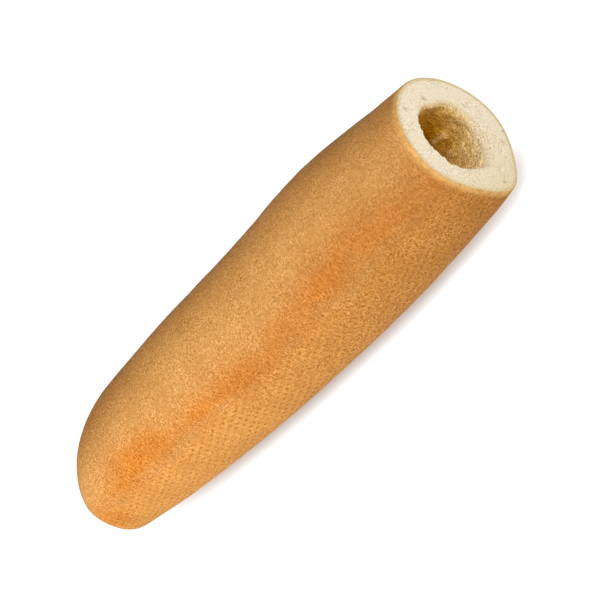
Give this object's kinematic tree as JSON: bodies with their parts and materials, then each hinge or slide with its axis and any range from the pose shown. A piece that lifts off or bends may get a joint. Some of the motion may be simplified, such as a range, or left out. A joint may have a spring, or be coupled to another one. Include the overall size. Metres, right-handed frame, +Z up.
{
  "type": "hot dog roll",
  "caption": "Long soft bread roll with a rounded end, the other end cut off, and a round blind hole down its middle for a sausage.",
  "frame": {"origin": "under the middle of the roll, on the surface that it rests on", "axes": "+X along the roll towards the cut end, +Z up, -Y towards the front"},
  "size_m": [0.1994, 0.049, 0.0477],
  "materials": {
    "bread": "matte golden crust with tray marks, cream crumb at the cut and in the hole"
  },
  "bodies": {
    "root": {"roll": "bread"}
  },
  "joints": []
}
